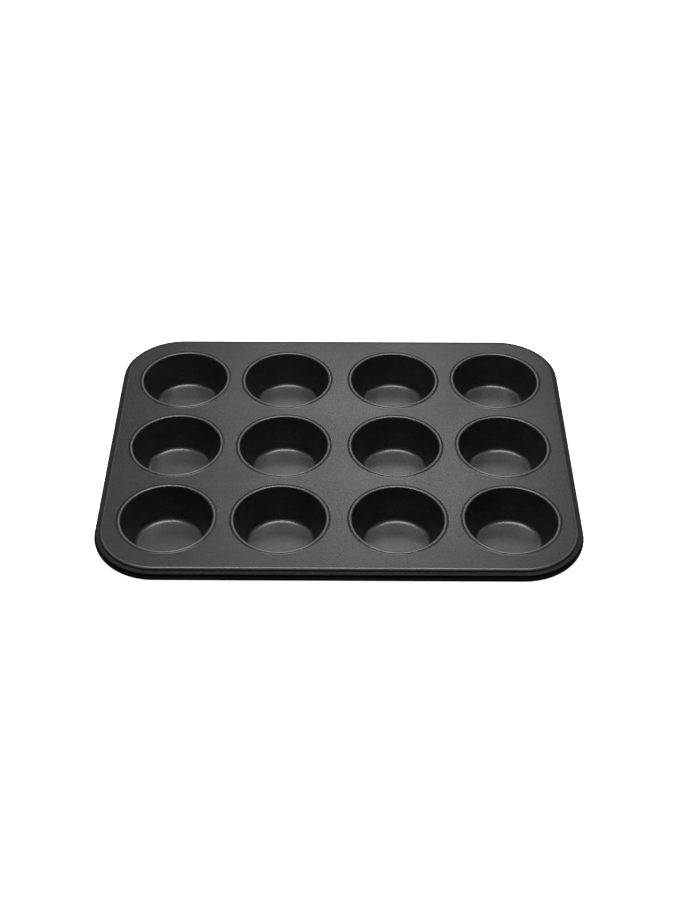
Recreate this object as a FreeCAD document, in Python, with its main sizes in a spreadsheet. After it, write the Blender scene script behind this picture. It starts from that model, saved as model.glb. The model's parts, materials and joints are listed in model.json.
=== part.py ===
"""Muffin tin: a deck sheet with a wired rim, and twelve drawn cups hung in its holes.

Millimetres. +Z is up, +X runs along the four columns, the front row is at low Y.
The origin is the centre of the footprint, on the surface that the cups stand on.
"""

import FreeCAD, Part
import math
import os

import Sketcher

Vector = FreeCAD.Vector

# Driving dimensions, kept in the document's sheet under these names.
SIZES = {
    "rows": 3,
    "row_pitch": 80.75,
    "outer_pitch": 81.9,
    "inner_pitch": 85.2,
    "deck_length": 343.6,
    "deck_width": 263.2,
    "deck_height": 26.0,
    "deck_sheet": 0.4,
    "corner_radius": 42.5,
    "edge_radius": 2.1,
    "ledge_fillet": 0.5,
    "ledge_start": 0.476,
    "shoulder_radius": 0.45,
    "shoulder_drop": 2.7,
    "skirt_overhang": 3.15,
    "flare_radius": 1.0,
    "bead_radius": 1.75,
    "bead_overhang": 2.5,
    "bead_drop": 6.45,
    "bead_end_rise": 1.6445,
    "wire_diameter": 2.6,
    "hole_bend": 1.15,
    "collar_gap": 0.05,
    "collar_depth": 1.4,
    "cup_sheet": 0.4,
    "cup_floor_radius": 21.5,
    "cup_corner_radius": 4.5,
    "cup_crest_radius": 34.6,
    "cup_lip_radius": 1.6,
    "cup_lip_rise": 0.62,
}
ROW_NAMES = ("front", "middle", "rear")
COLUMN_PLACES = (
    "-(Sizes.outer_pitch + Sizes.inner_pitch / 2)",
    "-(Sizes.inner_pitch / 2)",
    "Sizes.inner_pitch / 2",
    "Sizes.outer_pitch + Sizes.inner_pitch / 2",
)
HOLE_RADIUS = "Sizes.cup_crest_radius + Sizes.collar_gap"


class Line:
    """A straight step of an outline, from one point to another."""

    def __init__(self, start, end):
        self.geometry = Part.LineSegment(Vector(*start, 0), Vector(*end, 0))
        self.first, self.last = 1, 2


class Arc:
    """A round step of an outline, from one angle to another, in degrees."""

    def __init__(self, centre, radius, start, end):
        circle = Part.Circle(Vector(*centre, 0), Vector(0, 0, 1), radius)
        low, high = sorted((math.radians(start), math.radians(end)))
        self.geometry = Part.ArcOfCircle(circle, low, high)
        self.first, self.last = (1, 2) if end > start else (2, 1)


def origin_plane(body, role):
    """One of a body's own origin planes."""
    return next(plane for plane in body.Origin.OriginFeatures if plane.Role == role)


def new_sketch(body, name, role, offsets=None):
    """A sketch on one of the body's origin planes, moved in its own axes by formulas."""
    sketch = body.newObject("Sketcher::SketchObject", name)
    sketch.AttachmentSupport = [(origin_plane(body, role), "")]
    sketch.MapMode = "FlatFace"
    for axis, formula in (offsets or {}).items():
        sketch.setExpression("AttachmentOffset.Base." + axis, formula)
    return sketch


def size(sketch, name, formula, kind, *where):
    """Dimension a sketch, and tie the dimension to the sheet by a formula."""
    start = float(sketch.evalExpression(formula))
    index = sketch.addConstraint(Sketcher.Constraint(kind, *where, start))
    sketch.renameConstraint(index, name)
    sketch.setExpression("Constraints." + name, formula)


def outline(sketch, steps, corners=()):
    """Draw a closed outline; steps meet smoothly, except after those named in corners."""
    number = {}
    for name, step in steps.items():
        number[name] = sketch.addGeometry(step.geometry, False)
    names = list(steps)
    for name, following in zip(names, names[1:] + names[:1]):
        kind = "Coincident" if name in corners else "Tangent"
        ends = (number[name], steps[name].last, number[following], steps[following].first)
        sketch.addConstraint(Sketcher.Constraint(kind, *ends))
    return number


def share_centre(sketch, number, outer, inner):
    """Give the two faces of a bent sheet one centre of bend."""
    ends = (number[outer], 3, number[inner], 3)
    sketch.addConstraint(Sketcher.Constraint("Coincident", *ends))


def rounded_rectangle(sketch, length, width, radius):
    """A centred rectangle with round corners, whose right side starts at its middle."""
    half_x = float(sketch.evalExpression(length)) / 2
    half_y = float(sketch.evalExpression(width)) / 2
    bend = float(sketch.evalExpression(radius))
    in_x, in_y = half_x - bend, half_y - bend
    steps = {
        "right_upper": Line((half_x, 0), (half_x, in_y)),
        "rear_right": Arc((in_x, in_y), bend, 0, 90),
        "rear": Line((in_x, half_y), (-in_x, half_y)),
        "rear_left": Arc((-in_x, in_y), bend, 90, 180),
        "left": Line((-half_x, in_y), (-half_x, -in_y)),
        "front_left": Arc((-in_x, -in_y), bend, 180, 270),
        "front": Line((-in_x, -half_y), (in_x, -half_y)),
        "front_right": Arc((in_x, -in_y), bend, 270, 360),
        "right_lower": Line((half_x, -in_y), (half_x, 0)),
    }
    number = outline(sketch, steps, corners=("right_lower",))
    for side in ("right_upper", "left", "right_lower"):
        sketch.addConstraint(Sketcher.Constraint("Vertical", number[side]))
    for side in ("rear", "front"):
        sketch.addConstraint(Sketcher.Constraint("Horizontal", number[side]))
    for arc in ("rear_left", "front_left", "front_right"):
        pair = (number["rear_right"], number[arc])
        sketch.addConstraint(Sketcher.Constraint("Equal", *pair))
    sketch.addConstraint(Sketcher.Constraint("PointOnObject", number["right_upper"], 1, -1))
    size(sketch, "half_length", length + " / 2", "DistanceX", -1, 1, number["right_upper"], 1)
    size(sketch, "half_width", width + " / 2", "DistanceY", -1, 1, number["rear"], 1)
    size(sketch, "length", length, "DistanceX", number["left"], 1, number["right_upper"], 1)
    size(sketch, "width", width, "DistanceY", number["front"], 1, number["rear"], 1)
    size(sketch, "corner", radius, "Radius", number["rear_right"])


def centred_circle(sketch, start, formula):
    """A circle round the sketch's zero, whose radius follows a formula."""
    circle = sketch.addGeometry(Part.Circle(Vector(), Vector(0, 0, 1), start), False)
    sketch.addConstraint(Sketcher.Constraint("Coincident", circle, 3, -1, 1))
    size(sketch, "radius", formula, "Radius", circle)


def angle_to(origin, target):
    """The direction from one point to another, in degrees."""
    return math.degrees(math.atan2(target[1] - origin[1], target[0] - origin[0]))


def skirt_centres():
    """Centres of the skirt's five bends, measured from the deck's edge line."""
    reach = SIZES["edge_radius"] + SIZES["ledge_fillet"]
    across = SIZES["edge_radius"] + SIZES["ledge_start"]
    edge = (-SIZES["edge_radius"], -SIZES["edge_radius"])
    ledge = (SIZES["ledge_start"], edge[1] + math.sqrt(reach**2 - across**2))
    shoulder = (SIZES["skirt_overhang"] - SIZES["shoulder_radius"], -SIZES["shoulder_drop"])
    bead = (SIZES["bead_overhang"], -SIZES["bead_drop"])
    reach = SIZES["bead_radius"] + SIZES["flare_radius"]
    across = SIZES["skirt_overhang"] + SIZES["flare_radius"] - SIZES["bead_overhang"]
    flare = (bead[0] + across, bead[1] + math.sqrt(reach**2 - across**2))
    return {"edge": edge, "ledge": ledge, "shoulder": shoulder, "flare": flare, "bead": bead}


def bend_point(centre, radius, degrees):
    """A point on a bend."""
    angle = math.radians(degrees)
    return (centre[0] + radius * math.cos(angle), centre[1] + radius * math.sin(angle))


def crossing_tangent(lower_centre, upper_centre, radii):
    """Angle of the radius to the line that touches two bends on opposite sides."""
    gap = math.dist(lower_centre, upper_centre)
    return angle_to(lower_centre, upper_centre) - math.degrees(math.acos(radii / gap))


def curl_end_angle():
    """Where the curl round the wire stops, seen from the wire's centre, in degrees."""
    return 180 - math.degrees(math.asin(SIZES["bead_end_rise"] / SIZES["bead_radius"]))


def skirt_face(centres, radii):
    """One face of the skirt's sheet, from the deck out, down and round the wire."""
    ledge_slope = crossing_tangent(
        centres["shoulder"], centres["ledge"], radii["shoulder"] + radii["ledge"]
    )
    step = angle_to(centres["edge"], centres["ledge"])
    turn = angle_to(centres["bead"], centres["flare"])
    wall_x = centres["shoulder"][0] + radii["shoulder"]
    return {
        "edge": Arc(centres["edge"], radii["edge"], 90, step),
        "fillet": Arc(centres["ledge"], radii["ledge"], 180 + step, 180 + ledge_slope),
        "ledge": Line(
            bend_point(centres["ledge"], radii["ledge"], 180 + ledge_slope),
            bend_point(centres["shoulder"], radii["shoulder"], ledge_slope),
        ),
        "shoulder": Arc(centres["shoulder"], radii["shoulder"], ledge_slope, 0),
        "wall": Line((wall_x, centres["shoulder"][1]), (wall_x, centres["flare"][1])),
        "flare": Arc(centres["flare"], radii["flare"], 180, 180 + turn),
        "bead": Arc(centres["bead"], radii["bead"], turn, curl_end_angle() - 360),
    }


def reverse(step):
    """The same step walked the other way."""
    step.first, step.last = step.last, step.first
    return step


def skirt_section(sketch):
    """The skirt's sheet in section: edge bend, ledge, wall and the curl round the wire."""
    sheet = SIZES["deck_sheet"]
    outside = {
        "edge": SIZES["edge_radius"],
        "ledge": SIZES["ledge_fillet"],
        "shoulder": SIZES["shoulder_radius"],
        "flare": SIZES["flare_radius"],
        "bead": SIZES["bead_radius"],
    }
    grows = {"ledge": 1, "flare": 1}
    inside = {bend: radius + sheet * grows.get(bend, -1) for bend, radius in outside.items()}
    centres = skirt_centres()
    upper = skirt_face(centres, outside)
    lower = skirt_face(centres, inside)
    steps = dict(upper)
    steps["curl_end"] = Line(
        bend_point(centres["bead"], outside["bead"], curl_end_angle()),
        bend_point(centres["bead"], inside["bead"], curl_end_angle()),
    )
    for name in reversed(list(lower)):
        steps["under_" + name] = reverse(lower[name])
    steps["deck_side"] = Line(
        bend_point(centres["edge"], inside["edge"], 90),
        bend_point(centres["edge"], outside["edge"], 90),
    )
    corners = ("bead", "curl_end", "under_edge", "deck_side")
    number = outline(sketch, steps, corners)
    dimension_skirt(sketch, number)


def dimension_skirt(sketch, number):
    """Tie the skirt's section to the sheet."""
    for bend in ("edge", "fillet", "shoulder", "flare", "bead"):
        share_centre(sketch, number, bend, "under_" + bend)
    for wall in ("wall", "deck_side"):
        sketch.addConstraint(Sketcher.Constraint("Vertical", number[wall]))
    radii = {
        "edge": "Sizes.edge_radius",
        "fillet": "Sizes.ledge_fillet",
        "shoulder": "Sizes.shoulder_radius",
        "flare": "Sizes.flare_radius",
        "bead": "Sizes.bead_radius",
        "under_edge": "Sizes.edge_radius - Sizes.deck_sheet",
        "under_bead": "Sizes.bead_radius - Sizes.deck_sheet",
        "under_shoulder": "Sizes.shoulder_radius - Sizes.deck_sheet",
    }
    for bend, formula in radii.items():
        size(sketch, bend + "_radius", formula, "Radius", number[bend])
    places = {
        "edge": ("-Sizes.edge_radius", "-Sizes.edge_radius"),
        "fillet": ("Sizes.ledge_start", None),
        "shoulder": ("Sizes.skirt_overhang - Sizes.shoulder_radius", "-Sizes.shoulder_drop"),
        "bead": ("Sizes.bead_overhang", "-Sizes.bead_drop"),
    }
    for bend, (across, up) in places.items():
        size(sketch, bend + "_across", across, "DistanceX", -1, 1, number[bend], 3)
        if up:
            size(sketch, bend + "_up", up, "DistanceY", -1, 1, number[bend], 3)
    end = (number["bead"], 3, number["curl_end"], 1)
    size(sketch, "curl_end_rise", "Sizes.bead_end_rise", "DistanceY", *end)


def collar_section(sketch):
    """The turned-down edge of a hole in section, measured from the hole's centre."""
    bend = SIZES["hole_bend"]
    under = bend - SIZES["deck_sheet"]
    radius = SIZES["cup_crest_radius"] + SIZES["collar_gap"]
    foot = -bend - SIZES["collar_depth"]
    steps = {
        "bend": Arc((radius, -bend), bend, 90, 180),
        "inside": Line((radius - bend, -bend), (radius - bend, foot)),
        "foot": Line((radius - bend, foot), (radius - under, foot)),
        "outside": Line((radius - under, foot), (radius - under, -bend)),
        "under_bend": Arc((radius, -bend), under, 180, 90),
        "deck_side": Line((radius, under - bend), (radius, 0)),
    }
    number = outline(sketch, steps, corners=("inside", "foot", "under_bend", "deck_side"))
    share_centre(sketch, number, "bend", "under_bend")
    for side in ("inside", "outside", "deck_side"):
        sketch.addConstraint(Sketcher.Constraint("Vertical", number[side]))
    sketch.addConstraint(Sketcher.Constraint("Horizontal", number["foot"]))
    under_formula = "Sizes.hole_bend - Sizes.deck_sheet"
    size(sketch, "bend_across", HOLE_RADIUS, "DistanceX", -1, 1, number["bend"], 3)
    size(sketch, "bend_up", "-Sizes.hole_bend", "DistanceY", -1, 1, number["bend"], 3)
    size(sketch, "bend_radius", "Sizes.hole_bend", "Radius", number["bend"])
    size(sketch, "under_radius", under_formula, "Radius", number["under_bend"])
    size(sketch, "depth", "Sizes.collar_depth", "DistanceY", number["foot"], 1, number["bend"], 3)


def make_deck(document):
    """The top sheet: wired skirt, flat plate, and twelve holes with turned-down collars."""
    body = document.addObject("PartDesign::Body", "deck")
    sweep_round_rim(body, "Skirt", skirt_section, "0", "0")
    document.recompute()

    plate_lines = new_sketch(body, "PlateOutline", "XY_Plane", {"z": "Sizes.deck_height"})
    inset = " - 2 * Sizes.edge_radius"
    rounded_rectangle(
        plate_lines,
        "(Sizes.deck_length" + inset + ")",
        "(Sizes.deck_width" + inset + ")",
        "(Sizes.corner_radius - Sizes.edge_radius)",
    )
    plate = body.newObject("PartDesign::Pad", "Plate")
    plate.Profile = plate_lines
    plate.Reversed = True
    plate.setExpression("Length", "Sizes.deck_sheet")
    document.recompute()

    first_y = "-Sizes.row_pitch * (Sizes.rows - 1) / 2"
    hole = cut_hole(body, COLUMN_PLACES[0], first_y)
    collar = turn_collar(body, COLUMN_PLACES[0], first_y)
    repeat_over_grid(body, plate_lines, [hole, collar])
    document.recompute()
    return body


def cut_hole(body, first_x, first_y):
    """The first cup's hole, through the plate."""
    places = {"x": first_x, "y": first_y, "z": "Sizes.deck_height"}
    lines = new_sketch(body, "HoleOutline", "XY_Plane", places)
    start = SIZES["cup_crest_radius"] + SIZES["collar_gap"]
    centred_circle(lines, start, HOLE_RADIUS)
    hole = body.newObject("PartDesign::Pocket", "Hole")
    hole.Profile = lines
    hole.setExpression("Length", "2 * Sizes.deck_sheet")
    hole.Midplane = True
    body.Document.recompute()
    return hole


def turn_collar(body, first_x, first_y):
    """The first hole's collar; its section plane faces -Y, so its own z runs to the front."""
    places = {"x": first_x, "y": "Sizes.deck_height", "z": "-(" + first_y + ")"}
    section = new_sketch(body, "CollarSection", "XZ_Plane", places)
    collar_section(section)
    body.Document.recompute()
    return turn(body, "Collar", section)


def turn(body, name, section):
    """Turn a section all the way round its own upright axis."""
    turned = body.newObject("PartDesign::Revolution", name)
    turned.Profile = section
    turned.ReferenceAxis = (section, ["V_Axis"])
    turned.Angle = 360
    body.Document.recompute()
    return turned


def repeat_over_grid(body, directions, features):
    """Repeat features over the rows and over the columns, which stand in two pairs."""
    grid = body.newObject("PartDesign::MultiTransform", "Grid")
    grid.Originals = features
    along = {
        "Pair": ("H_Axis", 2, "Sizes.outer_pitch"),
        "Pairs": ("H_Axis", 2, "Sizes.outer_pitch + Sizes.inner_pitch"),
        "Rows": ("V_Axis", SIZES["rows"], "Sizes.row_pitch * (Sizes.rows - 1)"),
    }
    patterns = []
    for name, (axis, count, length) in along.items():
        pattern = body.newObject("PartDesign::LinearPattern", name)
        pattern.Direction = (directions, [axis])
        pattern.Occurrences = count
        pattern.setExpression("Length", length)
        patterns.append(pattern)
    patterns[-1].setExpression("Occurrences", "Sizes.rows")
    grid.Transformations = patterns
    body.Tip = grid


def sweep_round_rim(body, name, draw_section, across, up):
    """Sweep a section round the rim, with its zero moved from the deck's edge line."""
    rail = new_sketch(body, name + "Rail", "XY_Plane", {"z": "Sizes.deck_height + " + up})
    widen = " + 2 * (" + across + ")"
    rounded_rectangle(
        rail,
        "(Sizes.deck_length" + widen + ")",
        "(Sizes.deck_width" + widen + ")",
        "(Sizes.corner_radius + " + across + ")",
    )
    section = new_sketch(
        body,
        name + "Section",
        "XZ_Plane",
        {"x": "Sizes.deck_length / 2 + " + across, "y": "Sizes.deck_height + " + up},
    )
    draw_section(section)
    body.Document.recompute()
    sweep = body.newObject("PartDesign::AdditivePipe", name)
    sweep.Profile = section
    sweep.Spine = (rail, ["Edge{}".format(i + 1) for i in range(len(rail.Geometry))])
    sweep.Mode = "Standard"


def make_rim_wire(document):
    """The steel wire inside the curl, which stiffens the rim."""
    body = document.addObject("PartDesign::Body", "rim_wire")

    def draw_wire(sketch):
        centred_circle(sketch, SIZES["wire_diameter"] / 2, "Sizes.wire_diameter / 2")

    sweep_round_rim(body, "Wire", draw_wire, "Sizes.bead_overhang", "-Sizes.bead_drop")
    return body


def cup_section(sketch):
    """A cup in section: flat floor, round corner, tapered wall, and a lip rolled to the deck."""
    sheet = SIZES["cup_sheet"]
    floor, crest = SIZES["cup_floor_radius"], SIZES["cup_crest_radius"]
    corner, lip = SIZES["cup_corner_radius"], SIZES["cup_lip_radius"]
    sink = lip - SIZES["cup_lip_rise"]
    low, high = (floor, sheet + corner), (crest, SIZES["deck_height"] - sink)
    slope = crossing_tangent(low, high, corner + lip)
    lip_end = math.degrees(math.asin(sink / lip))
    under_end = math.degrees(math.asin(sink / (lip - sheet)))
    steps = {
        "floor": Line((0, sheet), (floor, sheet)),
        "corner": Arc(low, corner, -90, slope),
        "wall": Line(bend_point(low, corner, slope), bend_point(high, lip, 180 + slope)),
        "lip": Arc(high, lip, 180 + slope, lip_end),
        "seat": Line(bend_point(high, lip, lip_end), bend_point(high, lip - sheet, under_end)),
        "under_lip": Arc(high, lip - sheet, under_end, 180 + slope),
        "under_wall": Line(
            bend_point(high, lip - sheet, 180 + slope), bend_point(low, corner + sheet, slope)
        ),
        "under_corner": Arc(low, corner + sheet, slope, -90),
        "foot": Line((floor, 0), (0, 0)),
        "axis": Line((0, 0), (0, sheet)),
    }
    number = outline(sketch, steps, corners=("lip", "seat", "foot", "axis"))
    share_centre(sketch, number, "corner", "under_corner")
    share_centre(sketch, number, "lip", "under_lip")
    sketch.addConstraint(Sketcher.Constraint("Coincident", number["axis"], 1, -1, 1))
    sketch.addConstraint(Sketcher.Constraint("Vertical", number["axis"]))
    for flat in ("floor", "seat", "foot"):
        sketch.addConstraint(Sketcher.Constraint("Horizontal", number[flat]))
    size(sketch, "floor_radius", "Sizes.cup_floor_radius", "DistanceX", -1, 1, number["corner"], 3)
    size(sketch, "floor_height", "Sizes.cup_sheet", "DistanceY", -1, 1, number["floor"], 1)
    size(sketch, "corner_radius", "Sizes.cup_corner_radius", "Radius", number["corner"])
    size(sketch, "crest_radius", "Sizes.cup_crest_radius", "DistanceX", -1, 1, number["lip"], 3)
    size(sketch, "lip_radius", "Sizes.cup_lip_radius", "Radius", number["lip"])
    centre = "Sizes.deck_height + Sizes.cup_lip_rise - Sizes.cup_lip_radius"
    size(sketch, "lip_height", centre, "DistanceY", -1, 1, number["lip"], 3)
    size(sketch, "seat_height", "Sizes.deck_height", "DistanceY", -1, 1, number["seat"], 1)
    thin = "Sizes.cup_lip_radius - Sizes.cup_sheet"
    size(sketch, "under_lip_radius", thin, "Radius", number["under_lip"])


def make_cup(document, row, column):
    """One drawn cup, hung by its lip in its own hole of the deck."""
    name = "cup_{}_{}".format(ROW_NAMES[row], column + 1)
    body = document.addObject("PartDesign::Body", name)
    section = new_sketch(body, name + "_section", "XZ_Plane")
    cup_section(section)
    document.recompute()
    turn(body, name + "_turned", section)
    body.setExpression("Placement.Base.x", COLUMN_PLACES[column])
    row_place = "Sizes.row_pitch * ({} - (Sizes.rows - 1) / 2)"
    body.setExpression("Placement.Base.y", row_place.format(row))
    return body


def check(document, pieces):
    """Stop if any object failed or any piece has no sound solid."""
    for item in document.Objects:
        if "Invalid" in item.State or "Error" in item.State:
            raise RuntimeError("{} failed: {}".format(item.Name, item.State))
    for piece in pieces:
        shape = piece.Shape
        if shape.isNull() or not shape.isValid() or len(shape.Solids) != 1:
            raise RuntimeError("{} has no single valid solid".format(piece.Label))
        box = shape.BoundBox
        line = "{:14s} {:9.1f} mm3  z {:.2f} to {:.2f}"
        print(line.format(piece.Label, shape.Volume, box.ZMin, box.ZMax))


def main():
    document = FreeCAD.newDocument("muffin_tin")
    sheet = document.addObject("Spreadsheet::Sheet", "Sizes")
    for line, (name, value) in enumerate(SIZES.items(), start=1):
        sheet.set("A{}".format(line), name)
        sheet.set("B{}".format(line), str(value))
        sheet.setAlias("B{}".format(line), name)
    document.recompute()

    pieces = [make_deck(document), make_rim_wire(document)]
    for row in range(SIZES["rows"]):
        for column in range(len(COLUMN_PLACES)):
            pieces.append(make_cup(document, row, column))
    document.recompute()
    check(document, pieces)

    os.makedirs("parts", exist_ok=True)
    for piece in pieces:
        piece.Shape.exportStep("parts/{}.step".format(piece.Label))


main()
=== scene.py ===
"""A twelve-cup muffin tin: a stamped deck with a wired rim, and drawn cups hung in its holes."""

from collections import Counter
import json
import math

import bmesh
import bpy
from bpy.props import FloatProperty, FloatVectorProperty, IntProperty, PointerProperty
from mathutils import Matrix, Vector

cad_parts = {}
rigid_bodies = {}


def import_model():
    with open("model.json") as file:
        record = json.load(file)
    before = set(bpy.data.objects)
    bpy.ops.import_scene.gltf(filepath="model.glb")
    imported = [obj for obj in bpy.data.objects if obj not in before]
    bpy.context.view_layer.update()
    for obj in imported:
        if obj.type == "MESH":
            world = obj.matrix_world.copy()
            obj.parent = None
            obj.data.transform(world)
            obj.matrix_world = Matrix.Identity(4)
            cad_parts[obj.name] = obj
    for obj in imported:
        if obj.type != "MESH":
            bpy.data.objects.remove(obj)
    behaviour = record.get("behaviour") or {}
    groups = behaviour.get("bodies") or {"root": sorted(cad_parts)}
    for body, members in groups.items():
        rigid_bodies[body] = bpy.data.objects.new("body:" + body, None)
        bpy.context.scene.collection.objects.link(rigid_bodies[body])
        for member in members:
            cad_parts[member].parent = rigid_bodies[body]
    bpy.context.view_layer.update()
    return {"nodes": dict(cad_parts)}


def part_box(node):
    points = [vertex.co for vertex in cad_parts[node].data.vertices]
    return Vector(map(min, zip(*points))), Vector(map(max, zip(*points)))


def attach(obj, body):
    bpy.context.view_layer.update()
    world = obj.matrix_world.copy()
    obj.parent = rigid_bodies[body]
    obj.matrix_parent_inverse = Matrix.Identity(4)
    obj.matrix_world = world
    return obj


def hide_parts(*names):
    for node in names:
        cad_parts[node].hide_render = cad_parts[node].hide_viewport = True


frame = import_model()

bl_info = {
    "name": "Muffin Tin",
    "version": (1, 0, 0),
    "blender": (4, 5, 0),
    "location": "3D View > Sidebar > Muffin Tin",
    "description": "Builds a muffin tin in dark non-stick coat round its design frame",
    "category": "Object",
}

ROWS = ("front", "middle", "rear")
COLUMNS = (1, 2, 3, 4)
CUP_NODES = ["cup_{}_{}".format(row, column) for row in ROWS for column in COLUMNS]
SEAM_TOLERANCE = 1e-6
SMOOTH_ANGLE = 50.0

# Facets along each bend of a section.
EDGE_FACETS, LEDGE_FACETS, SHOULDER_FACETS, FLARE_FACETS, BEAD_FACETS = 12, 7, 8, 5, 28
COLLAR_FACETS, UNDER_COLLAR_FACETS = 9, 6
CORNER_FACETS, UNDER_CORNER_FACETS = 14, 10
LIP_FACETS, UNDER_LIP_FACETS = 26, 12
WALL_FACETS, UNDER_WALL_FACETS = 8, 6
PLAN_CORNER_FACETS = 24
CURL_END = 110 - 360

# Soft lights: name, place, width, depth and power in watts. All face the origin.
SOFTBOXES = (
    ("overhead softbox", (0, 0.05, 1.3), 0.9, 0.5, 19.0),
    ("rear panel", (0.06, 1.44, 1.32), 0.6, 0.5, 3.9),
    ("wide rear panel", (0, 1.44, 1.32), 2.4, 0.6, 3.0),
    ("left side strip", (-1.2, 0.3, 0.9), 0.5, 0.8, 1.5),
    ("right side strip", (1.2, 0.3, 0.9), 0.5, 0.8, 2.0),
)
WORLD_STRENGTH = 0.01
FLOOR_SIZE = 40.0
FLOOR_GLOW = 1.15
SENSOR_WIDTH = 36.0

# The sprayed coat: its grains and clouds to the metre, the grain's depth, and where a bend is sharp.
COAT_GRAIN, COAT_GRAIN_DEPTH = 1400.0, 0.000028
CLOUD_SCALE = 16.0
SHARP_REACH, SHARP_SPAN = 0.56, 0.12

# Changes of roughness: up and down with the clouds, down in flecks and on edges, up on the ledge,
# where shade is painted.
CLOUD_SWING, FLECK_GLOSS, EDGE_GLOSS, LEDGE_SHADE_MATT = 0.03, 0.11, 0.08, 0.65

# Wear and light painted on the mesh: drop at which rubbing with its painted highlight starts, then
# fades as shares of a bend or lip, for rubbing with a painted highlight, and of the ledge, for
# painted shade.
RUB_AND_HIGHLIGHT_START = 0.00006
RUB_AND_HIGHLIGHT_FADE = (0.33, 0.62)
LEDGE_FADE_IN, LEDGE_FADE_OUT = (0.8, 0.95), (1.1, 1.3)
LIP_FADE_IN, LIP_FADE_OUT = (-0.8, -0.3), (0.3, 0.7)
# Heights on a cup: its floor's scuffing and painted light are full up to the first and gone at the
# second.
SCUFF_AND_LIGHT_TOP, SCUFF_AND_LIGHT_END = 0.0006, 0.0022


# ---------------------------------------------------------------- sizes and colours

def length(name, description, default):
    """A length that the user may change."""
    return FloatProperty(
        name=name, description=description, default=default, min=0.0,
        unit="LENGTH", subtype="DISTANCE", precision=5,
    )


def colour(name, description, default):
    """A colour that the user may change."""
    return FloatVectorProperty(
        name=name, description=description, default=default,
        subtype="COLOR", size=3, min=0.0, max=1.0,
    )


class TinSizes(bpy.types.PropertyGroup):
    """Sizes of the sheet metal."""

    sheet: length("Deck sheet", "Thickness of the deck's steel", 0.0004)
    corner: length("Corner", "Radius of the deck's corners in plan", 0.0425)
    edge: length("Edge bend", "Radius of the deck's top edge", 0.0021)
    ledge_fillet: length("Ledge fillet", "Inside radius at the foot of the edge", 0.0005)
    ledge_start: length("Ledge start", "How far out the ledge starts", 0.000476)
    shoulder: length("Shoulder", "Radius of the ledge's outer bend", 0.00045)
    shoulder_drop: length("Shoulder drop", "Height of the deck above the shoulder", 0.0027)
    overhang: length("Overhang", "How far the skirt stands out from the deck", 0.00315)
    flare: length("Flare", "Inside radius where the skirt meets its bead", 0.001)
    bead: length("Bead", "Radius of the rolled edge", 0.00175)
    bead_overhang: length("Bead overhang", "How far out the wire lies", 0.0025)
    bead_drop: length("Bead drop", "Height of the deck above the wire", 0.00645)
    collar: length("Collar", "Depth of a hole's turned-down edge", 0.0014)
    collar_bend: length("Collar bend", "Radius of a hole's turned-down edge", 0.00115)
    collar_gap: length("Collar gap", "Play between a cup and its hole", 0.00005)
    cup_sheet: length("Cup sheet", "Thickness of a cup's steel", 0.0004)
    cup_floor: length("Cup floor", "Radius of a cup's flat floor", 0.0215)
    cup_corner: length("Cup corner", "Inside radius round a cup's floor", 0.0045)
    cup_crest: length("Cup crest", "Radius of the ring along the top of a cup's lip", 0.0346)
    cup_lip: length("Cup lip", "Radius of a cup's rolled lip", 0.0016)
    lip_rise: length("Lip rise", "How far a cup's lip stands above the deck", 0.00062)
    lip_landing: length("Lip landing", "Radius at which a cup's lip meets the deck", 0.0359)
    flank: length("Flank", "Width of the fillet of coat that runs up to a lip", 0.0008)
    flank_height: length("Flank height", "Height of the fillet of coat at a lip", 0.0004)
    flat_margin: length("Flat margin", "Width of the true flat beside a bend", 0.0008)
    sides: IntProperty(
        name="Sides", description="Facets round a cup", default=144, min=24, max=256
    )


class TinFinish(bpy.types.PropertyGroup):
    """Colours and gloss of the finishes."""

    coat: colour("Coat", "Dark non-stick coat", (0.009, 0.009, 0.0094))
    rubbed_and_highlight: colour("Rubbed coat", "Coat that hands and cloths have polished", (0.02, 0.02, 0.021))
    # Lighter coat for the edge bend and lips: wear, and a painted highlight.
    worn_and_highlight: colour("Edge wear and painted highlight", "Coat lighter on lips and bends, from wear and a painted highlight", (0.075, 0.075, 0.077))
    # Lighter coat for the cups' floors: scuffing, and painted light.
    scuff_and_painted_light: colour("Scuffed coat and painted light", "Coat scuffed dull on the cups' floors", (0.036, 0.036, 0.037))
    # Near-black coat for the ledge: painted shade.
    ledge_shade_colour: colour("Ledge shade", "Near-black shade painted on the skirt's ledge", (0.004, 0.004, 0.004))
    wire: colour("Wire", "Bare drawn steel", (0.55, 0.55, 0.56))
    floor: colour("Floor", "Pale floor", (0.90, 0.90, 0.90))
    roughness: FloatProperty(
        name="Coat roughness", description="Roughness of the coat", default=0.35,
        min=0.05, max=1.0, subtype="FACTOR",
    )


class TinCamera(bpy.types.PropertyGroup):
    """Where the tin is looked at from."""

    lens: FloatProperty(name="Lens", description="Focal length in millimetres", default=56.56)
    place: FloatVectorProperty(
        name="Place", description="The camera's place", default=(0.0042, -0.8346, 0.7503),
        size=3, unit="LENGTH", subtype="TRANSLATION",
    )
    pitch: FloatProperty(
        name="Pitch", description="How far the camera looks down", subtype="ANGLE",
        default=math.radians(41.55),
    )
    yaw: FloatProperty(
        name="Yaw", description="How far the camera turns to its left", subtype="ANGLE",
        default=math.radians(0.369),
    )


# ---------------------------------------------------------------- modelling by hand

def clear_selection():
    """Leave edit mode and deselect everything."""
    if bpy.context.object and bpy.context.object.mode != "OBJECT":
        bpy.ops.object.mode_set(mode="OBJECT")
    bpy.ops.object.select_all(action="DESELECT")


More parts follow.
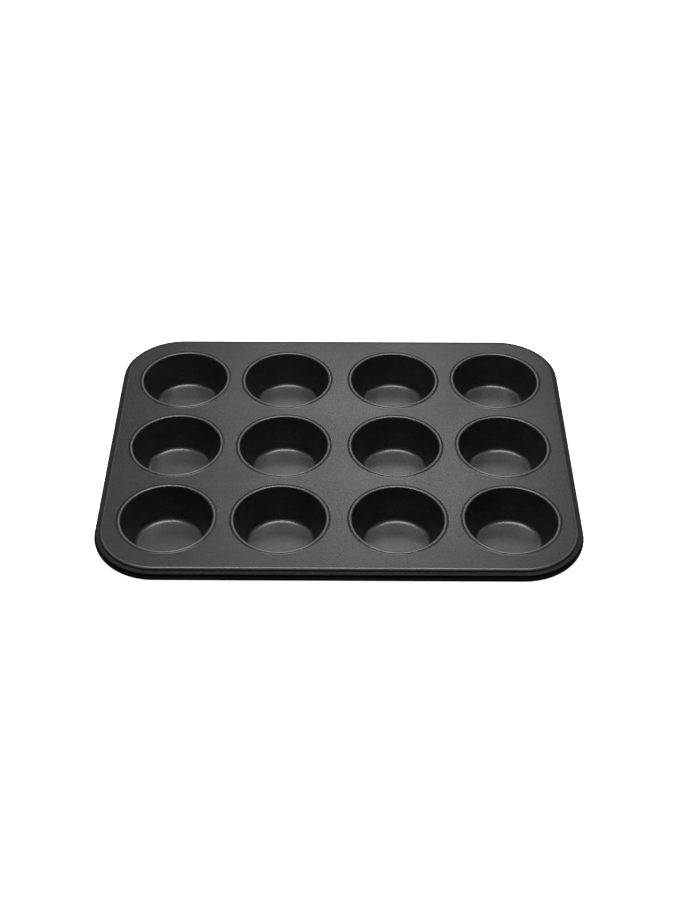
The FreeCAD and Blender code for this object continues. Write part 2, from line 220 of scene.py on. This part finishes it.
def pick_edges(test):
    """Select just the edges that pass a test."""
    bpy.ops.mesh.select_mode(type="EDGE")
    bpy.ops.mesh.select_all(action="DESELECT")
    data = bpy.context.object.data
    mesh = bmesh.from_edit_mesh(data)
    for edge in mesh.edges:
        if test(edge):
            edge.select_set(True)
    mesh.select_flush_mode()
    bmesh.update_edit_mesh(data)


def new_piece(name):
    """A piece that starts as one vertex at the origin, in edit mode."""
    clear_selection()
    bpy.ops.mesh.primitive_plane_add(size=0.001, location=(0, 0, 0))
    piece = bpy.context.object
    piece.name = piece.data.name = name
    bpy.ops.object.mode_set(mode="EDIT")
    bpy.ops.mesh.select_mode(type="VERT")
    bpy.ops.mesh.select_all(action="SELECT")
    bpy.ops.mesh.merge(type="CENTER")
    bpy.ops.mesh.select_all(action="SELECT")
    return piece


def draw_section(points):
    """Draw a section in the XZ plane, by extruding the selected vertex from point to point."""
    here = Vector((0, 0, 0))
    for number, (across, up) in enumerate(points):
        step = Vector((across, 0, up)) - here
        here += step
        if number == 0:
            bpy.ops.transform.translate(value=step)
        else:
            bpy.ops.mesh.extrude_vertices_move(TRANSFORM_OT_translate={"value": step})
    bpy.ops.mesh.select_linked()


def push(across, along):
    """Extrude the selected section along the floor plan."""
    move = {"value": Vector((across, along, 0))}
    bpy.ops.mesh.extrude_region_move(TRANSFORM_OT_translate=move)


def turn(centre, angle, steps):
    """Spin the selected section to its left round an upright axis."""
    middle = (centre[0], centre[1], 0)
    bpy.ops.mesh.spin(steps=steps, angle=-math.radians(angle), center=middle, axis=(0, 0, 1))


def finish_mesh(piece):
    """Merge doubles, turn the faces outwards, shade smooth, and stop if the mesh is open."""
    bpy.ops.mesh.select_mode(type="VERT")
    bpy.ops.mesh.select_all(action="SELECT")
    bpy.ops.mesh.remove_doubles(threshold=SEAM_TOLERANCE)
    bpy.ops.mesh.normals_make_consistent(inside=False)
    clear_selection()
    piece.select_set(True)
    bpy.context.view_layer.objects.active = piece
    bpy.ops.object.shade_smooth_by_angle(angle=math.radians(SMOOTH_ANGLE))
    sides = Counter(edge for face in piece.data.polygons for edge in face.edge_keys)
    if any(count != 2 for count in sides.values()):
        raise RuntimeError(piece.name + " is not closed")


def ramp(value, start, end):
    """How far a value is from one bound to another, from 0 to 1."""
    return min(max((value - start) / (end - start), 0.0), 1.0)


def band(value, fade_in, fade_out, unit):
    """1 between two fades and 0 outside them, with the fades given in a unit."""
    share = value / unit
    return ramp(share, *fade_in) * ramp(share, fade_out[1], fade_out[0])


def paint(piece, name, weight):
    """Store a weight at every point of a mesh, worked out from the point's place."""
    layer = piece.data.attributes.new(name, "FLOAT", "POINT")
    for point, stored in zip(piece.data.vertices, layer.data):
        stored.value = weight(point.co)


def hand_over(piece, node, material):
    """Give a finished piece its finish, its body and the node that it stands for."""
    piece.data.materials.clear()
    piece.data.materials.append(material)
    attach(piece, "root")
    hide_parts(node)


# ---------------------------------------------------------------- sections

def bend(centre, radius, start, end, steps):
    """Points along a bend, from one angle to another, in degrees."""
    points = []
    for step in range(steps + 1):
        angle = math.radians(start + (end - start) * step / steps)
        points.append((centre[0] + radius * math.cos(angle), centre[1] + radius * math.sin(angle)))
    return points


def between(start, end, steps):
    """Points on a straight run, without its two ends."""
    share = [step / steps for step in range(1, steps)]
    return [tuple(a + (b - a) * k for a, b in zip(start, end)) for k in share]


def direction(origin, target):
    """The direction from one point to another, in degrees."""
    return math.degrees(math.atan2(target[1] - origin[1], target[0] - origin[0]))


def touching_angle(low, high, radii):
    """Direction of the radius to the line that touches two bends on opposite sides."""
    return direction(low, high) - math.degrees(math.acos(radii / math.dist(low, high)))


def skirt_bends(sizes):
    """Centres of the skirt's bends: out from the deck's edge line, and up from the deck."""
    edge = (-sizes.edge, -sizes.edge)
    reach = sizes.edge + sizes.ledge_fillet
    across = sizes.edge + sizes.ledge_start
    ledge = (sizes.ledge_start, edge[1] + math.sqrt(reach**2 - across**2))
    shoulder = (sizes.overhang - sizes.shoulder, -sizes.shoulder_drop)
    bead = (sizes.bead_overhang, -sizes.bead_drop)
    reach = sizes.bead + sizes.flare
    across = sizes.overhang + sizes.flare - bead[0]
    flare = (bead[0] + across, bead[1] + math.sqrt(reach**2 - across**2))
    return edge, ledge, shoulder, flare, bead


def skirt_face(sizes, depth):
    """One face of the skirt's sheet, from the flat deck out, down and round the wire."""
    edge, ledge, shoulder, flare, bead = skirt_bends(sizes)
    ledge_radius = sizes.ledge_fillet + depth
    shoulder_radius = sizes.shoulder - depth
    slope = touching_angle(shoulder, ledge, shoulder_radius + ledge_radius)
    step = direction(edge, ledge)
    swing = direction(bead, flare)
    return (
        [(edge[0] - sizes.flat_margin, -depth)]
        + bend(edge, sizes.edge - depth, 90, step, EDGE_FACETS)
        + bend(ledge, ledge_radius, 180 + step, 180 + slope, LEDGE_FACETS)[1:]
        + bend(shoulder, shoulder_radius, slope, 0, SHOULDER_FACETS)
        + bend(flare, sizes.flare + depth, 180, 180 + swing, FLARE_FACETS)
        + bend(bead, sizes.bead - depth, swing, CURL_END, BEAD_FACETS)[1:]
    )


def collar_section(sizes, hole):
    """A hole's turned-down edge: out from the hole's middle, and up from the deck."""
    centre = (hole, -sizes.collar_bend)
    foot = -sizes.collar_bend - sizes.collar
    under = sizes.collar_bend - sizes.sheet
    rim = hole + sizes.flat_margin
    landing = sizes.lip_landing
    return (
        [(landing + sizes.flank, 0), (landing + sizes.flank / 2, 0), (rim, 0)]
        + bend(centre, sizes.collar_bend, 90, 180, COLLAR_FACETS)
        + [(hole - sizes.collar_bend, foot), (hole - under, foot)]
        + bend(centre, under, 180, 90, UNDER_COLLAR_FACETS)
        + [(rim, -sizes.sheet)]
    )


def cup_section(sizes, deck):
    """A cup, from under its floor, up outside, over the lip and down to its floor inside."""
    sheet, lip, corner = sizes.cup_sheet, sizes.cup_lip, sizes.cup_corner
    sink = lip - sizes.lip_rise
    low = (sizes.cup_floor, sheet + corner)
    high = (sizes.cup_crest, deck - sink)
    slope = touching_angle(low, high, corner + lip)
    lip_end = math.degrees(math.asin(sink / lip))
    under_end = math.degrees(math.asin(sink / (lip - sheet)))
    under_corner = bend(low, corner + sheet, -90, slope, UNDER_CORNER_FACETS)
    under_lip = bend(high, lip - sheet, 180 + slope, under_end, UNDER_LIP_FACETS)
    over_lip = bend(high, lip, lip_end, 180 + slope, LIP_FACETS)
    inner_corner = bend(low, corner, slope, -90, CORNER_FACETS)
    flat = sizes.cup_floor - sizes.flat_margin
    return (
        [(0, 0), (flat / 2, 0), (flat, 0)]
        + under_corner
        + between(under_corner[-1], under_lip[0], UNDER_WALL_FACETS)
        + under_lip
        + over_lip
        + between(over_lip[-1], inner_corner[0], WALL_FACETS)
        + inner_corner
        + [(flat, sheet), (flat / 2, sheet), (0, sheet)]
    )


def cup_middle(cup):
    """The middle of a cup's footprint."""
    low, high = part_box(cup)
    return Vector(((low.x + high.x) / 2, (low.y + high.y) / 2, 0))


# ---------------------------------------------------------------- node groups

def new_group(name, inputs, outputs):
    """An empty shader node group with named inputs and outputs."""
    group = bpy.data.node_groups.new(name, "ShaderNodeTree")
    for label, kind, default in inputs:
        socket = group.interface.new_socket(name=label, in_out="INPUT", socket_type=kind)
        socket.default_value = default
    for label, kind in outputs:
        group.interface.new_socket(name=label, in_out="OUTPUT", socket_type=kind)
    return group


def node(tree, kind, wires=None, **settings):
    """Add a node; wires feed its inputs from sockets or plain values."""
    made = tree.nodes.new(kind)
    for name, value in settings.items():
        setattr(made, name, value)
    for name, value in (wires or {}).items():
        if isinstance(value, bpy.types.NodeSocket):
            tree.links.new(value, made.inputs[name])
        else:
            made.inputs[name].default_value = value
    return made


def math_node(tree, operation, first, second=0.0, clamp=False):
    """The result of a sum on two sockets or values."""
    return node(
        tree, "ShaderNodeMath", {0: first, 1: second}, operation=operation, use_clamp=clamp
    ).outputs[0]


def noise(tree, vector, scale, detail=2.0, roughness=0.5):
    """A noise pattern's value."""
    wires = {"Vector": vector, "Scale": scale, "Detail": detail, "Roughness": roughness}
    return node(tree, "ShaderNodeTexNoise", wires).outputs["Fac"]


def spread(tree, value, low, high, to_low=0.0, to_high=1.0):
    """Map one range of values to another, clamped."""
    wires = {
        "Value": value, "From Min": low, "From Max": high, "To Min": to_low, "To Max": to_high
    }
    return node(tree, "ShaderNodeMapRange", wires).outputs["Result"]


def mix_colour(tree, factor, first, second):
    """A colour between two others."""
    mixed = tree.nodes.new("ShaderNodeMix")
    mixed.data_type = "RGBA"
    tree.links.new(factor, mixed.inputs[0])
    for number, part in ((6, first), (7, second)):
        if isinstance(part, bpy.types.NodeSocket):
            tree.links.new(part, mixed.inputs[number])
        else:
            mixed.inputs[number].default_value = (*part, 1)
    return mixed.outputs[2]


def coat_grain_group():
    """Sprayed coat: orange-peel height, and a fine fleck."""
    group = new_group(
        "Coat grain",
        [("Grain Scale", "NodeSocketFloat", COAT_GRAIN)],
        [("Height", "NodeSocketFloat"), ("Fleck", "NodeSocketFloat")],
    )
    scale = node(group, "NodeGroupInput").outputs["Grain Scale"]
    end = node(group, "NodeGroupOutput")
    place = node(group, "ShaderNodeTexCoord").outputs["Object"]
    fine = math_node(group, "MULTIPLY", noise(group, place, scale, 3.0, 0.6), 0.6)
    coarse_scale = math_node(group, "MULTIPLY", scale, 0.22)
    coarse = noise(group, place, coarse_scale, 2.0, 0.5)
    fleck_scale = math_node(group, "MULTIPLY", scale, 0.8)
    fleck = spread(group, noise(group, place, fleck_scale, 1.0, 0.5), 0.45, 0.75)
    group.links.new(math_node(group, "ADD", fine, coarse), end.inputs["Height"])
    group.links.new(fleck, end.inputs["Fleck"])
    return group


def handling_group():
    """Cloudy variation left by wiping and baking."""
    group = new_group(
        "Handling",
        [("Cloud Scale", "NodeSocketFloat", CLOUD_SCALE)],
        [("Cloud", "NodeSocketFloat"), ("Smear", "NodeSocketFloat")],
    )
    scale = node(group, "NodeGroupInput").outputs["Cloud Scale"]
    end = node(group, "NodeGroupOutput")
    place = node(group, "ShaderNodeTexCoord").outputs["Object"]
    cloud = noise(group, place, scale, 4.0, 0.55)
    stretch = node(group, "ShaderNodeMapping", {"Vector": place, "Scale": (0.35, 1.6, 1.0)})
    smear_scale = math_node(group, "MULTIPLY", scale, 4.0)
    smear = noise(group, stretch.outputs["Vector"], smear_scale, 5.0, 0.6)
    group.links.new(cloud, end.inputs["Cloud"])
    group.links.new(spread(group, smear, 0.4, 0.7), end.inputs["Smear"])
    return group


def edge_wear_group():
    """A mask of the sharp outer bends, broken up by noise."""
    group = new_group(
        "Edge wear",
        [("Reach", "NodeSocketFloat", SHARP_REACH)],
        [("Worn", "NodeSocketFloat")],
    )
    reach = node(group, "NodeGroupInput").outputs["Reach"]
    end = node(group, "NodeGroupOutput")
    sharp = node(group, "ShaderNodeNewGeometry").outputs["Pointiness"]
    edges = spread(group, sharp, reach, math_node(group, "ADD", reach, SHARP_SPAN))
    place = node(group, "ShaderNodeTexCoord").outputs["Object"]
    broken = spread(group, noise(group, place, 260.0, 4.0, 0.65), 0.42, 0.62)
    group.links.new(math_node(group, "MULTIPLY", edges, broken), end.inputs["Worn"])
    return group


def painted_wear_and_light_group():
    """Wear, painted highlight, painted shade and painted light stored on the mesh, broken up by
    noise.
    """
    names = ("rubbed_and_highlight", "ledge_shade", "scuff_and_painted_light")
    group = new_group("Painted wear and light", [], [(name, "NodeSocketFloat") for name in names])
    end = node(group, "NodeGroupOutput")
    place = node(group, "ShaderNodeTexCoord").outputs["Object"]
    broken = spread(group, noise(group, place, 420.0, 4.0, 0.65), 0.3, 0.6, 0.72, 1.0)
    for name in names:
        painted = node(group, "ShaderNodeAttribute", attribute_name=name).outputs["Fac"]
        group.links.new(math_node(group, "MULTIPLY", painted, broken), end.inputs[name])
    return group


def use_group(tree, name, build):
    """Place a node group in a material, built the first time; gives its outputs."""
    placed = tree.nodes.new("ShaderNodeGroup")
    placed.node_tree = bpy.data.node_groups.get(name) or build()
    return placed.outputs


# ---------------------------------------------------------------- finishes

def new_material(name):
    """An empty material with an output and a principled shader."""
    material = bpy.data.materials.new(name)
    material.use_nodes = True
    tree = material.node_tree
    tree.nodes.clear()
    shader = tree.nodes.new("ShaderNodeBsdfPrincipled")
    output = tree.nodes.new("ShaderNodeOutputMaterial")
    tree.links.new(shader.outputs["BSDF"], output.inputs["Surface"])
    return material, tree, shader


def nonstick_coat(name):
    """Dark satin non-stick coat over steel, with wear and light painted on: a painted highlight with
    rubbing on the edge bend and lips, painted light with scuffing on the cups' floors, and painted
    shade, matt, on the ledge.
    """
    material, tree, shader = new_material(name)
    grain = use_group(tree, "Coat grain", coat_grain_group)
    handling = use_group(tree, "Handling", handling_group)
    wear = use_group(tree, "Edge wear", edge_wear_group)["Worn"]
    painted = use_group(tree, "Painted wear and light", painted_wear_and_light_group)
    tint_coat(tree, shader, handling["Smear"], wear, painted)
    dull_coat(tree, shader, handling["Cloud"], grain["Fleck"], wear, painted["ledge_shade"])

    flank_height = bpy.context.scene.tin_sizes.flank_height
    flank = node(tree, "ShaderNodeAttribute", attribute_name="flank").outputs["Fac"]
    flank = math_node(tree, "MULTIPLY", flank, flank_height)
    peel = math_node(tree, "MULTIPLY", grain["Height"], COAT_GRAIN_DEPTH)
    height = math_node(tree, "ADD", peel, flank)
    bump = node(tree, "ShaderNodeBump", {"Height": height, "Strength": 1.0, "Distance": 1.0})
    tree.links.new(bump.outputs["Normal"], shader.inputs["Normal"])
    return material


def tint_coat(tree, shader, smear, wear, painted):
    """The coat's colour: smears and edge wear first, then the painted marks over them: painted light
    with scuffing on the floors, a painted highlight with rubbing on bends and lips, and painted
    shade on the ledge.
    """
    finish = bpy.context.scene.tin_finish
    rub = math_node(tree, "MULTIPLY", smear, 0.5)
    tint = math_node(tree, "ADD", rub, wear, clamp=True)
    base = mix_colour(tree, tint, finish.coat, finish.rubbed_and_highlight)
    # Painted light, with scuffing, lightens the cups' floors.
    base = mix_colour(tree, painted["scuff_and_painted_light"], base, finish.scuff_and_painted_light)
    # A painted highlight, with rubbing, lightens the edge bend and lips.
    base = mix_colour(tree, painted["rubbed_and_highlight"], base, finish.worn_and_highlight)
    # Painted shade darkens the ledge.
    base = mix_colour(tree, painted["ledge_shade"], base, finish.ledge_shade_colour)
    tree.links.new(base, shader.inputs["Base Color"])


def dull_coat(tree, shader, cloud, fleck, wear, ledge_shade):
    """The coat's roughness: cloudy, with glossier flecks and edges, and matt on the ledge where
    shade is painted.
    """
    roughness = bpy.context.scene.tin_finish.roughness
    cloudy = spread(tree, cloud, 0.3, 0.7, roughness + CLOUD_SWING, roughness - CLOUD_SWING)
    fleck_gloss = math_node(tree, "MULTIPLY", fleck, FLECK_GLOSS)
    edge_gloss = math_node(tree, "MULTIPLY", wear, EDGE_GLOSS)
    rough = math_node(tree, "SUBTRACT", cloudy, fleck_gloss)
    rough = math_node(tree, "SUBTRACT", rough, edge_gloss)
    matt = math_node(tree, "MULTIPLY", ledge_shade, LEDGE_SHADE_MATT)
    tree.links.new(math_node(tree, "ADD", rough, matt, clamp=True), shader.inputs["Roughness"])


def drawn_steel():
    """Plain steel wire with draw lines."""
    finish = bpy.context.scene.tin_finish
    material, tree, shader = new_material("drawn steel")
    place = node(tree, "ShaderNodeTexCoord").outputs["Object"]
    lines = noise(tree, place, 700.0, 4.0, 0.7)
    darker = [part * 0.6 for part in finish.wire]
    base = mix_colour(tree, spread(tree, lines, 0.3, 0.7), finish.wire, darker)
    tree.links.new(base, shader.inputs["Base Color"])
    tree.links.new(spread(tree, lines, 0.3, 0.7, 0.3, 0.5), shader.inputs["Roughness"])
    shader.inputs["Metallic"].default_value = 1.0
    bump = node(tree, "ShaderNodeBump", {"Height": lines, "Distance": 0.00002})
    tree.links.new(bump.outputs["Normal"], shader.inputs["Normal"])
    return material


def studio_floor():
    """Pale floor, lit evenly."""
    finish = bpy.context.scene.tin_finish
    material, tree, shader = new_material("studio floor")
    place = node(tree, "ShaderNodeTexCoord").outputs["Object"]
    mottle = spread(tree, noise(tree, place, 3.0), 0.3, 0.7)
    darker = [part * 0.98 for part in finish.floor]
    base = mix_colour(tree, mottle, finish.floor, darker)
    tree.links.new(base, shader.inputs["Base Color"])
    tree.links.new(base, shader.inputs["Emission Color"])
    shader.inputs["Emission Strength"].default_value = FLOOR_GLOW
    shader.inputs["Roughness"].default_value = 0.9
    return material


# ---------------------------------------------------------------- operators

class TIN_OT_deck(bpy.types.Operator):
    """Model the deck: the wired skirt swept round the rim, and the plate with its collared holes"""

    bl_idname = "tin.deck"
    bl_label = "Deck"

    def execute(self, context):
        sizes = context.scene.tin_sizes
        low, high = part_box("deck")
        reach = sizes.bead_overhang + sizes.bead
        half_x = high.x - reach
        straight_x = half_x - sizes.corner
        straight_y = high.y - reach - sizes.corner
        top = high.z

        piece = new_piece("deck_sheet")
        inner, outer = skirt_face(sizes, sizes.sheet), skirt_face(sizes, 0.0)
        section = inner + list(reversed(outer))
        draw_section([(half_x + across, top + up) for across, up in section])
        push(0, straight_y)
        for centre, run in (
            ((straight_x, straight_y), (-2 * straight_x, 0)),
            ((-straight_x, straight_y), (0, -2 * straight_y)),
            ((-straight_x, -straight_y), (2 * straight_x, 0)),
            ((straight_x, -straight_y), (0, straight_y)),
        ):
            turn(centre, 90, PLAN_CORNER_FACETS)
            push(*run)
        self.add_holes(sizes, top)
        for level in (top, top - sizes.sheet):
            self.fill_plate(level)
        finish_mesh(piece)
        self.paint_wear_and_light(piece, sizes, top)
        hand_over(piece, "deck", nonstick_coat("deck coat"))
        return {"FINISHED"}

    def add_holes(self, sizes, top):
        """A collared ring for one cup, copied to all the others."""
        hole = sizes.cup_crest + sizes.collar_gap
        bpy.ops.mesh.select_all(action="DESELECT")
        bpy.ops.mesh.primitive_plane_add(size=0.001, location=(0, 0, 0))
        bpy.ops.mesh.merge(type="CENTER")
        draw_section([(across, top + up) for across, up in collar_section(sizes, hole)])
        turn((0, 0), 360, sizes.sides)
        bpy.ops.mesh.select_linked()
        here = Vector((0, 0, 0))
        for number, cup in enumerate(CUP_NODES):
            step = cup_middle(cup) - here
            here += step
            if number == 0:
                bpy.ops.transform.translate(value=step)
            else:
                bpy.ops.mesh.duplicate_move(TRANSFORM_OT_translate={"value": step})

    def paint_wear_and_light(self, piece, sizes, top):
        """Rubbing with a painted highlight along the top edge, painted shade and matt in the ledge,
        and coat run up to the lips.
        """
        middles = [cup_middle(cup) for cup in CUP_NODES]
        outer = sizes.lip_landing + sizes.flank
        ledge = sizes.shoulder_drop - sizes.shoulder

        # Rubbing and a painted highlight on the upper part of the edge bend.
        def rubbed_and_highlight(place):
            return band(top - place.z, (0, RUB_AND_HIGHLIGHT_START / sizes.edge), RUB_AND_HIGHLIGHT_FADE, sizes.edge)

        # Painted shade in a band on the ledge.
        def ledge_shade(place):
            return band(top - place.z, LEDGE_FADE_IN, LEDGE_FADE_OUT, ledge)

        def flank(place):
            ring = min((place.xy - middle.xy).length for middle in middles)
            return ramp(ring, outer, sizes.lip_landing)

        paint(piece, "rubbed_and_highlight", rubbed_and_highlight)
        paint(piece, "ledge_shade", ledge_shade)
        paint(piece, "flank", flank)

    def fill_plate(self, level):
        """Fill between the rim and the holes at one height."""
        bpy.ops.mesh.select_mode(type="VERT")
        bpy.ops.mesh.select_all(action="SELECT")
        bpy.ops.mesh.remove_doubles(threshold=SEAM_TOLERANCE)
        pick_edges(lambda edge: edge.is_boundary and all(
            abs(end.co.z - level) < SEAM_TOLERANCE for end in edge.verts
        ))
        bpy.ops.mesh.fill(use_beauty=True)


class TIN_OT_cups(bpy.types.Operator):
    """Model one cup by spinning its section, and copy it to every hole"""

    bl_idname = "tin.cups"
    bl_label = "Cups"

    def execute(self, context):
        sizes = context.scene.tin_sizes
        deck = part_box("deck")[1].z
        pattern = new_piece("cup_shell_pattern")
        draw_section(cup_section(sizes, deck))
        turn((0, 0), 360, sizes.sides)
        finish_mesh(pattern)
        self.paint_wear_and_light(pattern, sizes)
        coat = nonstick_coat("cup coat")
        for cup in CUP_NODES:
            clear_selection()
            pattern.select_set(True)
            context.view_layer.objects.active = pattern
            bpy.ops.object.duplicate(linked=False)
            shell = context.object
            shell.name = shell.data.name = cup.replace("cup", "cup_shell")
            bpy.ops.transform.translate(value=cup_middle(cup))
            bpy.ops.object.transform_apply(location=True, rotation=False, scale=False)
            hand_over(shell, cup, coat)
        bpy.data.objects.remove(pattern)
        return {"FINISHED"}

    def paint_wear_and_light(self, pattern, sizes):
        """Rubbing with a painted highlight over the lip, and scuffing with painted light on the
        floor.
        """
        # Rubbing and a painted highlight over the lip.
        def rubbed_and_highlight(place):
            away = place.xy.length - sizes.cup_crest
            return band(away, LIP_FADE_IN, LIP_FADE_OUT, sizes.cup_lip)

        paint(pattern, "rubbed_and_highlight", rubbed_and_highlight)
        # Painted light, with scuffing, on the floor, fading out up the wall.
        paint(pattern, "scuff_and_painted_light", lambda place: ramp(place.z, SCUFF_AND_LIGHT_END, SCUFF_AND_LIGHT_TOP))


class TIN_OT_wire(bpy.types.Operator):
    """Finish the rim wire, which keeps its shape from the design"""

    bl_idname = "tin.wire"
    bl_label = "Rim wire"

    def execute(self, context):
        wire = frame["nodes"]["rim_wire"]
        wire.data.materials.clear()
        wire.data.materials.append(drawn_steel())
        return {"FINISHED"}


class TIN_OT_stage(bpy.types.Operator):
    """Set up the floor, the soft lights and the camera"""

    bl_idname = "tin.stage"
    bl_label = "Stage"

    def execute(self, context):
        self.lay_floor()
        for softbox in SOFTBOXES:
            self.hang_softbox(*softbox)
        self.light_world(context)
        self.place_camera(context)
        context.scene.view_settings.view_transform = "Standard"
        return {"FINISHED"}

    def lay_floor(self):
        """A pale sheet under the tin."""
        clear_selection()
        bpy.ops.mesh.primitive_plane_add(size=FLOOR_SIZE, location=(0, 0, 0))
        floor = bpy.context.object
        floor.name = floor.data.name = "floor"
        floor.data.materials.append(studio_floor())
        floor.visible_glossy = False
        floor.visible_diffuse = False

    def hang_softbox(self, name, place, width, depth, power):
        """A soft rectangular light that faces the origin."""
        clear_selection()
        turned = (-Vector(place)).to_track_quat("-Z", "Y").to_euler()
        bpy.ops.object.light_add(type="AREA", location=place, rotation=turned)
        lamp = bpy.context.object
        lamp.name = lamp.data.name = name
        lamp.data.shape = "RECTANGLE"
        lamp.data.size = width
        lamp.data.size_y = depth
        lamp.data.energy = power
        lamp.visible_camera = False

    def light_world(self, context):
        """A dim even studio."""
        world = bpy.data.worlds.new("studio")
        context.scene.world = world
        world.use_nodes = True
        back = world.node_tree.nodes["Background"]
        back.inputs["Color"].default_value = (1, 1, 1, 1)
        back.inputs["Strength"].default_value = WORLD_STRENGTH

    def place_camera(self, context):
        """The camera, and its lens."""
        view = context.scene.tin_camera
        clear_selection()
        turned = (math.pi / 2 - view.pitch, 0, view.yaw)
        bpy.ops.object.camera_add(location=view.place, rotation=turned)
        camera = context.object
        camera.data.lens = view.lens
        camera.data.sensor_width = SENSOR_WIDTH
        context.scene.camera = camera


class TIN_PT_panel(bpy.types.Panel):
    """The tin's operators and sizes, in the sidebar"""

    bl_idname = "TIN_PT_panel"
    bl_label = "Muffin Tin"
    bl_space_type = "VIEW_3D"
    bl_region_type = "UI"
    bl_category = "Muffin Tin"

    def draw(self, context):
        layout = self.layout
        for operator in OPERATORS:
            layout.operator(operator.bl_idname)
        for title, group in (
            ("Sizes", context.scene.tin_sizes),
            ("Finish", context.scene.tin_finish),
            ("Camera", context.scene.tin_camera),
        ):
            box = layout.box()
            box.label(text=title)
            for name in group.__annotations__:
                box.prop(group, name)


GROUPS = {"tin_sizes": TinSizes, "tin_finish": TinFinish, "tin_camera": TinCamera}
OPERATORS = (TIN_OT_deck, TIN_OT_cups, TIN_OT_wire, TIN_OT_stage)
CLASSES = (*GROUPS.values(), *OPERATORS, TIN_PT_panel)


def register():
    """Add the classes, and the settings to the scene."""
    for item in CLASSES:
        bpy.utils.register_class(item)
    for name, group in GROUPS.items():
        setattr(bpy.types.Scene, name, PointerProperty(type=group))


def unregister():
    """Take them away again."""
    for name in GROUPS:
        delattr(bpy.types.Scene, name)
    for item in reversed(CLASSES):
        bpy.utils.unregister_class(item)


def main():
    """Build the tin and its stage."""
    register()
    bpy.ops.tin.deck()
    bpy.ops.tin.cups()
    bpy.ops.tin.wire()
    bpy.ops.tin.stage()


if __name__ == "__main__":
    main()
